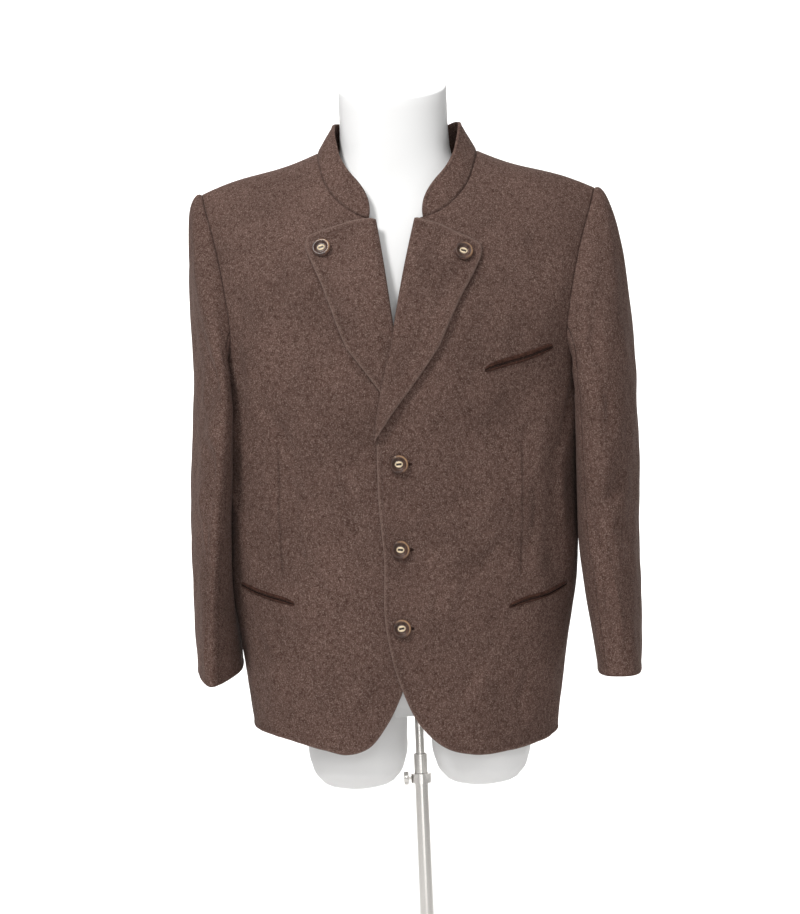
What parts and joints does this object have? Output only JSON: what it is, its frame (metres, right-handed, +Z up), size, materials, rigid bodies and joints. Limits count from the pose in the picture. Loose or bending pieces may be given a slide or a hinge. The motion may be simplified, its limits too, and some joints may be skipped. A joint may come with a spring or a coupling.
{
  "type": "tyrolean loden jacket on a dress form stand",
  "caption": "Single-breasted woollen folk jacket with a stand collar, buttoned-back lapels and piped pockets, on a headless dress form with a telescoping pole and round base.",
  "frame": {"origin": "middle of the base plate's flat underside, on the floor", "axes": "+Z up, the jacket faces -Y, the wearer's left arm is on the +X side"},
  "size_m": [0.5754, 0.3, 1.356],
  "materials": {
    "loden": "grey-brown melange woollen loden, matt and felted",
    "piping": "dark brown woollen braid, matt",
    "horn": "grey-brown horn, satin polish",
    "form": "white lacquer, satin",
    "steel": "bright plated steel",
    "base": "brushed steel plate"
  },
  "bodies": {
    "stand": {"base": "base", "pole_outer": "steel", "clamp_ring": "steel"},
    "screw": {"clamp_screw": "steel"},
    "figure": {"pole_inner": "steel", "dress_form": "form", "front_left": "loden", "front_right": "loden", "back_left": "loden", "back_right": "loden", "lapel_left": "loden", "lapel_right": "loden", "collar": "loden", "sleeve_left_upper": "loden", "sleeve_left_under": "loden", "sleeve_right_upper": "loden", "sleeve_right_under": "loden", "chest_piping_upper": "piping", "chest_piping_lower": "piping", "hip_piping_left_upper": "piping", "hip_piping_left_lower": "piping", "hip_piping_right_upper": "piping", "hip_piping_right_lower": "piping", "front_button_1": "horn", "front_button_2": "horn", "front_button_3": "horn", "lapel_button_left": "horn", "lapel_button_right": "horn"}
  },
  "joints": [
    {"name": "pole_height", "type": "slide", "parent": "stand", "child": "figure", "axis": [-0.0262, 0, 0.9997], "range_m": [0, 0.3]},
    {"name": "screw_turn", "type": "hinge", "parent": "stand", "child": "screw", "pos_m": [-0.01191, 0, 0.45484], "axis": [-0.9997, 0, -0.0262], "range_deg": [0, 360]}
  ]
}
